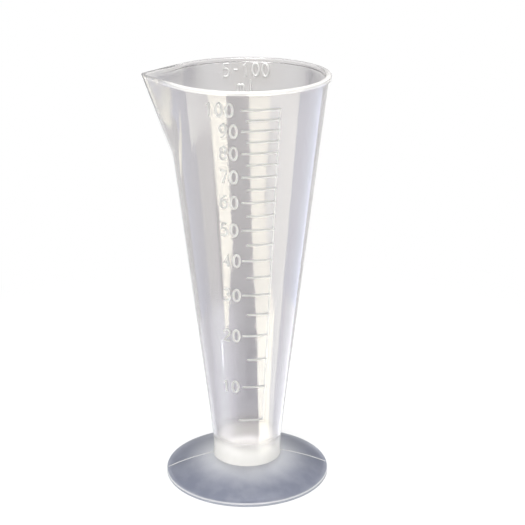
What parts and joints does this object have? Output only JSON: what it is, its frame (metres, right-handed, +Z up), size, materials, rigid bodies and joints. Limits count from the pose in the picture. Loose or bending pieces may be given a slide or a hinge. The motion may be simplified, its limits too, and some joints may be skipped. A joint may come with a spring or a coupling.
{
  "type": "measuring cup",
  "caption": "Tall conical measuring cup of clear plastic with a V-shaped pouring lip, raised scale lines up its front and a round domed foot.",
  "frame": {"origin": "middle of the footprint, lip included, on the surface that the foot stands on", "axes": "+Z up along the cup's axis, -Y out of the face with the scale, -X towards the tip of the pouring lip"},
  "size_m": [0.0569, 0.052, 0.13],
  "materials": {
    "cup_plastic": "clear, glossy",
    "foot_plastic": "clear, glossy",
    "scale_plastic": "clear, glossy"
  },
  "bodies": {
    "root": {"cup_shell": "cup_plastic", "foot": "foot_plastic", "line_005_ml": "scale_plastic", "line_010_ml": "scale_plastic", "line_015_ml": "scale_plastic", "line_020_ml": "scale_plastic", "line_025_ml": "scale_plastic", "line_030_ml": "scale_plastic", "line_035_ml": "scale_plastic", "line_040_ml": "scale_plastic", "line_045_ml": "scale_plastic", "line_050_ml": "scale_plastic", "line_055_ml": "scale_plastic", "line_060_ml": "scale_plastic", "line_065_ml": "scale_plastic", "line_070_ml": "scale_plastic", "line_075_ml": "scale_plastic", "line_080_ml": "scale_plastic", "line_085_ml": "scale_plastic", "line_090_ml": "scale_plastic", "line_095_ml": "scale_plastic", "line_100_ml": "scale_plastic"}
  },
  "joints": []
}
